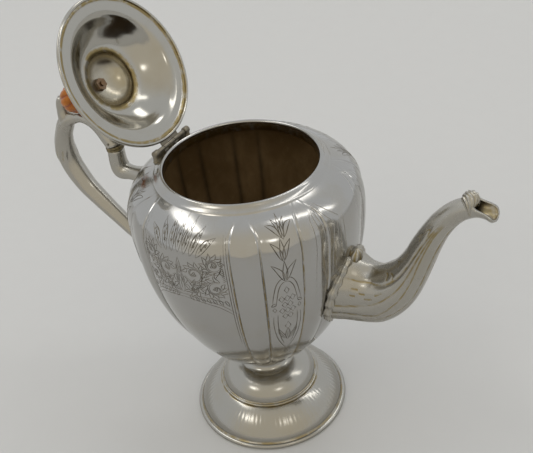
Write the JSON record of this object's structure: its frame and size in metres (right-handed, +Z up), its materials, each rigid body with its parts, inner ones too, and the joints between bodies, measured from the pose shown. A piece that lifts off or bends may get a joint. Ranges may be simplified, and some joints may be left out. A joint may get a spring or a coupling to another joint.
{
  "type": "coffee pot",
  "caption": "Silver-plated lobed coffee pot on a spreading foot, with a scrolled spout, an insulated loop handle and a hinged lid with a fruit finial, shown open.",
  "frame": {"origin": "centre of the foot on the surface it stands on", "axes": "+Z up, +X towards the spout, -X towards the handle and the lid's hinge"},
  "size_m": [0.2901, 0.1364, 0.2692],
  "materials": {
    "silver": "polished silver plate with light tarnish in the creases",
    "silver_body": "polished silver plate, lobed and engraved with foliate bands",
    "silver_dull": "duller silver plate, tarnished",
    "insulator_bone": "aged brown bone, satin",
    "finial_amber": "carved amber-coloured fruit, glossy"
  },
  "bodies": {
    "pot": {"foot_wire": "silver", "foot_flange": "silver", "foot_step_wire": "silver", "foot_dome": "silver", "foot_collar": "silver", "vessel": "silver_body", "mouth_rim": "silver", "spout": "silver", "handle_upper_socket": "silver", "upper_insulator": "insulator_bone", "handle_grip": "silver", "lower_insulator": "insulator_bone", "handle_lower_socket": "silver", "insulator_pins": "silver_dull", "hinge_bracket": "silver_dull", "hinge_pin": "silver_dull"},
    "lid": {"hinge_leaf": "silver_dull", "lid_wire": "silver", "lid_shell": "silver", "lid_step_wire": "silver", "lid_dome": "silver", "finial_nut": "silver_dull", "finial_stud": "silver_dull", "finial_washer": "silver_dull", "finial_cup": "silver", "finial_fruit": "finial_amber"}
  },
  "joints": [
    {"name": "lid_hinge", "type": "hinge", "parent": "pot", "child": "lid", "pos_m": [-0.0476, 0, 0.1879], "axis": [0, 1, 0], "range_deg": [0, 118.8]}
  ]
}
